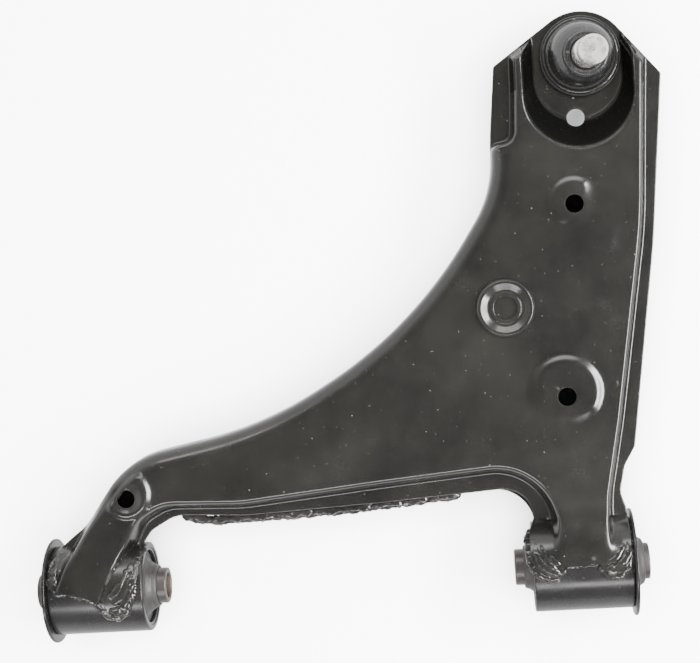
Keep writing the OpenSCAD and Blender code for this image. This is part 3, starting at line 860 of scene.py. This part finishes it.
tube_weld("front_weld_left", "front_tube_weld", 1.9, 1,
          [(-27.5, 22.6), (-29.0, 15), (-28.8, 7), (-25.2, 0.5), (-20, -2.8), (-15, -2.6), (-11.8, 0.6),
           (-9.5, 2.2)])
tube_weld("front_weld_right", "front_tube_weld", 1.9, 2,
          [(7.8, 3.2), (10.6, 0.4), (13.6, -2.4), (19, -3.0), (24, 0.6), (26.3, 6), (26.4, 14), (26, 22.6)])
tube_weld("front_weld_end", "front_tube_weld", 0.7, 3, [(-9.5, 2.7), (-4, 3.0), (2, 3.3), (7.8, 3.6)],
          lift=1.0, wobble=0.35)
tube_weld("rear_weld", "rear_tube_weld", 1.8, 4,
          [(-288.5, 22.8), (-294.6, 19), (-295.6, 9), (-292.4, 3), (-286, 2.6), (-275, -0.4), (-267.4, -5.4),
           (-263.4, -11.8), (-257, -13.6), (-252.4, -10), (-249.2, 0), (-247.6, 10), (-245.6, 20),
           (-243.5, 23.6)])
strands("front_weld_run_left", "front_tube_weld", 3.0, 11,
        (1.9, (-26, 19), (-25.4, 11), (-22.5, 4), (-17, 0.2), (-13, 1)),
        (1.8, (-22.6, 21), (-22.2, 13), (-19.6, 6), (-14.6, 2.4)),
        (1.5, (-19.2, 19.5), (-18.8, 13.5), (-16.4, 8), (-12.6, 4.6)))
strands("front_weld_run_right", "front_tube_weld", 3.0, 21,
        (1.9, (24.6, 18), (24, 11), (21, 4.4), (16, 0.4), (11.6, 1.6)),
        (1.8, (21.6, 20), (20.6, 13), (17.4, 7), (12.2, 3.6)),
        (1.5, (18.4, 18), (16.8, 13), (13.8, 9), (9.8, 5.6)))
strands("rear_weld_run_right", "rear_tube_weld", 1.3, 31,
        (2.2, (-246.4, 19), (-248.6, 8), (-251.6, -3), (-256.4, -9.4), (-262.4, -8)),
        (2.0, (-248.8, 17), (-251.4, 7), (-255, -1.5), (-260.6, -4.6)),
        (1.6, (-251.6, 14), (-254.2, 6), (-258, 0.5), (-262.6, -2.0)))
strands("rear_weld_run_left", "rear_tube_weld", 1.6, 41,
        (1.9, (-290.4, 20.4), (-293.2, 14), (-293.0, 7), (-289.6, 4)),
        (1.6, (-287, 20.8), (-289.8, 14.6), (-289.4, 8.4)))

SEAM_WELD = [(-222, 39.8, 4.4), (-212, 37.0, 4.2), (-203, 35.8, 4.2), (-185, 36.2, 4.2), (-160, 36.6, 4.2),
             (-127, 37.8, 4.2), (-95, 40.2, 4.2), (-64, 42.6, 4.2)]
seam = bead("edge_weld", SEAM_WELD, 2.1, 5, lambda p: np.array([0, 0, 1.0]), 0.85, 16, 0.32, 3.4)
dress(seam, PAINT_WELD, "arm", "seam_weld")


# ---- Ball joint. Sections are (radius, height above the ball's centre). -----

for node, mat in (("ball_joint_housing", PAINT), ("ball_joint_cover", PAINT_TUBE), ("ball_seat", PLASTIC)):
    cad_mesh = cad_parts[node].data
    cad_mesh.materials.clear()
    cad_mesh.materials.append(mat)

BOOT_SECTION = [(20.5, 1.2), (20.5, 2.4), (20.2, 2.8), (20.2, 4.3), (20.7, 4.9), (20.6, 5.7), (20.1, 6.0),
                (19.3, 5.8), (18.7, 5.0), (18.1, 5.2), (17.9, 6.4), (17.8, 9.0), (17.5, 12.0), (17.0, 14.8),
                (16.1, 17.2), (14.7, 19.4), (13.1, 21.2), (12.2, 22.3), (11.7, 23.4), (11.6, 24.9),
                (12.1, 25.6), (12.1, 26.4), (11.3, 27.0), (9.4, 27.0), (8.3, 26.2), (8.3, 23.6), (9.8, 21.2),
                (13.2, 18.0), (14.8, 14.2), (15.4, 11), (15.6, 7.0), (17.6, 4.2), (19.2, 4.0), (19.2, 1.2)]
SEAM = 15.4  # height where the boot's two pieces meet
CLIP_SECTION = [(20.75, 2.8), (21.7, 2.8), (22.0, 3.3), (22.0, 4.0), (21.7, 4.5), (20.75, 4.5)]
STUD_SECTION = [(0.02, -11.2), (6.05, -11.2), (9.4, -8.6), (11.75, -4.9), (12.75, 0), (11.95, 4.4),
                (10.35, 7.4), (6.3, 10.9), (6.3, 18.5), (7, 21), (8, 24), (8, 38.2), (7.3, 39.6), (6.7, 41.2),
                (6.5, 42.5), (6.7, 43.8), (7.3, 45.4), (7.8, 46.8), (7.8, 49.4), (7.5, 49.7), (7.8, 50.0),
                (7.8, 51.2), (7.5, 51.5), (7.8, 51.8), (7.7, 53.2), (6.4, 55), (1.0, 55), (0.75, 52.4),
                (0.02, 51.8)]


def boot_lean(h):
    """The boot's share of the stud's lean, from none at its base to all of it at its lip."""
    t = max(0.0, min(1.0, (h - 6.0) / 16.2))
    return t * t * (3 - 2 * t)


def full_lean(h):
    return 1.0


def at_seam(a, b):
    """Where the section's line from a to b crosses the seam."""
    return (a[0] + (b[0] - a[0]) * (SEAM - a[1]) / (b[1] - a[1]), SEAM)


def boot_sections():
    """The boot's section as a closed lower part and a closed upper part."""
    section = fillet(BOOT_SECTION, 0.5, 3)
    above = [i for i, (_, h) in enumerate(section) if h > SEAM]
    first, last = above[0], above[-1]
    outer = at_seam(section[first - 1], section[first])
    inner = at_seam(section[last], section[last + 1])
    return (section[:first] + [outer, inner] + section[last + 1:],
            [outer] + section[first:last + 1] + [inner])


def boot_piece(name, section):
    """A piece of the boot, leaned by a share of the stud's lean that grows between two heights."""
    obj = lathe(name, section, BALL, angle=60)
    lean_points(obj, boot_lean)
    obj.data.materials.append(BOOT)
    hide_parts("dust_boot")
    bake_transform(obj)


def neck_ring():
    radius, height, wire = 12.0, 24.2, 0.62
    turns = np.arange(12) * math.pi / 6
    section = [(radius + wire * math.cos(a), height + wire * math.sin(a)) for a in turns]
    return lathe("boot_neck_wire", section, BALL, angle=60)


skirt, neck = boot_sections()
boot_piece("boot_skirt", skirt)
boot_piece("boot_neck", neck)
clip = lathe("boot_clip_ring", fillet(CLIP_SECTION, 0.3, 4), BALL, angle=50)
dress(clip, PAINT_TUBE, "arm", "boot_base_clip")
ring = neck_ring()
lean_points(ring, full_lean)
dress(ring, PAINT_TUBE, "boot_collar", "boot_neck_ring")
stud = lathe("stud_skin", STUD_SECTION, BALL, angle=28)
lean_points(stud, full_lean)
dress(stud, STUD, "stud", "ball_stud")


# ---- Stage, light and camera, in metres --------------------------------

FLOOR_Z = -0.0302  # just under the bushes' flanges
FLOOR_HALF = 4.0
WORLD_STRENGTH = 3.0
BELOW = 0.68  # brightness of the world's lower half, which steep walls mirror
SIDEWAYS = (-0.62, 0.78, 0.0)  # towards the brighter side
ACROSS_TOP = (1.6, -1.0, 0.0)  # how the world's top gets brighter from one side to the other


def paper_floor():
    mesh = bpy.data.meshes.new("floor")
    corners = [(x * FLOOR_HALF, y * FLOOR_HALF, FLOOR_Z) for x, y in ((-1, -1), (1, -1), (1, 1), (-1, 1))]
    mesh.from_pydata(corners, [], [(0, 1, 2, 3)])
    obj = bpy.data.objects.new("floor", mesh)
    bpy.context.scene.collection.objects.link(obj)
    mat, _, bsdf, _ = material("floor_paper")
    bsdf.inputs["Base Color"].default_value = (0.93, 0.93, 0.93, 1)
    bsdf.inputs["Roughness"].default_value = 0.9
    mesh.materials.append(mat)
    obj.visible_glossy = False


def dot_node(nt, vector, direction):
    node = nt.nodes.new("ShaderNodeVectorMath")
    node.operation = "DOT_PRODUCT"
    node.inputs[1].default_value = direction
    nt.links.new(vector, node.inputs[0])
    return node.outputs["Value"]


def add_node(nt, value, amount):
    node = nt.nodes.new("ShaderNodeMath")
    node.operation = "ADD"
    node.inputs[1].default_value = amount
    nt.links.new(value, node.inputs[0])
    return node.outputs[0]


def studio_world():
    """A tent of light: bright low down, nearly black overhead, brighter on one side."""
    world = bpy.data.worlds.new("studio")
    bpy.context.scene.world = world
    world.use_nodes = True
    nt = world.node_tree
    nt.nodes.clear()
    out = nt.nodes.new("ShaderNodeOutputWorld")
    back = nt.nodes.new("ShaderNodeBackground")
    nt.links.new(back.outputs[0], out.inputs[0])
    view = nt.nodes.new("ShaderNodeTexCoord").outputs["Generated"]
    split = nt.nodes.new("ShaderNodeSeparateXYZ")
    nt.links.new(view, split.inputs[0])
    height = split.outputs["Z"]
    tent = ramp_node(nt, height, [(0.0, 0.5), (0.25, 0.75), (0.5, 0.55), (0.68, 0.26), (0.82, 0.15),
                                  (0.92, 0.08), (1.0, 0.07)])
    overhead = ramp_node(nt, height, [(0.88, 0.0), (0.95, 1.0)])
    across = add_node(nt, dot_node(nt, view, ACROSS_TOP), 0.5)
    tent = mix_colour(nt, overhead, tent, ramp_node(nt, across, [(0.2, 0.03), (0.85, 0.14)]))
    side_light = ramp_node(nt, dot_node(nt, view, SIDEWAYS), [(0.0, 0.3), (0.12, 0.5), (0.55, 1.0)])
    side_light = mix_colour(nt, overhead, side_light, (1.0, 1.0, 1.0))
    tent = mix_colour(nt, side_light, (0.02, 0.02, 0.02), tent)
    below = ramp_node(nt, height, [(0.0, 1.0), (0.05, 0.0)])
    tent = mix_colour(nt, below, tent, (BELOW, BELOW, BELOW))
    nt.links.new(tent, back.inputs["Color"])
    back.inputs["Strength"].default_value = WORLD_STRENGTH


def softbox(name, azimuth, elevation, distance, width, height, watts, glossy=True):
    """A rectangular area light aimed at the middle of the arm."""
    data = bpy.data.lights.new(name, "AREA")
    data.shape = "RECTANGLE"
    data.size, data.size_y, data.energy = width, height, watts
    obj = bpy.data.objects.new(name, data)
    bpy.context.scene.collection.objects.link(obj)
    a, e = math.radians(azimuth), math.radians(elevation)
    d = Vector((math.cos(a) * math.cos(e), math.sin(a) * math.cos(e), math.sin(e)))
    obj.location = Vector((-0.08, 0.13, 0)) + d * distance
    obj.rotation_euler = d.to_track_quat("Z", "Y").to_euler()
    obj.visible_glossy = glossy


def camera():
    data = bpy.data.cameras.new("camera")
    data.sensor_width = 36
    data.lens = 77.81143
    obj = bpy.data.objects.new("camera", data)
    bpy.context.scene.collection.objects.link(obj)
    obj.location = (-0.047558, 0.144497, 0.847)
    obj.rotation_euler = [math.radians(turn) for turn in (-0.81413, 4.87282, -3.76348)]
    bpy.context.scene.camera = obj


paper_floor()
studio_world()
softbox("overhead", 0, 90, 2.4, 2.6, 2.6, 560, glossy=False)
softbox("east", 0, 42, 1.8, 1.6, 0.34, 135)
softbox("north", 92, 40, 1.8, 1.7, 0.42, 20)
softbox("south", -95, 44, 1.8, 1.6, 0.26, 32)
camera()
